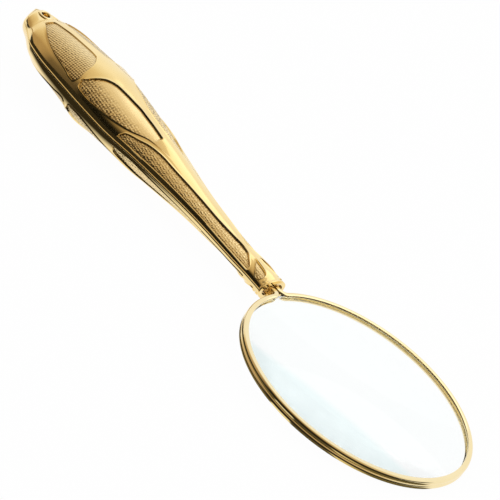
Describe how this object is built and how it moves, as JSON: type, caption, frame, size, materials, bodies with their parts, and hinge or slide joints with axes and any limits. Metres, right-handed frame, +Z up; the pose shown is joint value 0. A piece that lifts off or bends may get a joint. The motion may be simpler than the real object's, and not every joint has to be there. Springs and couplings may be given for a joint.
{
  "type": "hand magnifier",
  "caption": "Round hand magnifier: a biconvex glass in a rolled metal rim, on a hollow baluster handle of pressed shells with sunk patterned panels and a hanging eyelet at its end.",
  "frame": {"origin": "under the middle of the part's box, on the surface that it lies on", "axes": "+X along the handle towards the glass, +Y across it, +Z up along the optical axis"},
  "size_m": [0.213, 0.078, 0.0208],
  "materials": {
    "glass": "polished clear glass",
    "rim_metal": "polished gilt plate",
    "shell_metal": "polished gilt plate over a pressed pattern",
    "plug_brass": "satin",
    "pin_steel": "satin",
    "core_filling": "cast filling"
  },
  "bodies": {
    "root": {"lens": "glass", "lens_rim": "rim_metal", "upper_shell": "shell_metal", "lower_shell": "shell_metal", "hanging_eyelet": "rim_metal", "neck_plug": "plug_brass", "tail_pin": "pin_steel", "handle_core": "core_filling"}
  },
  "joints": []
}
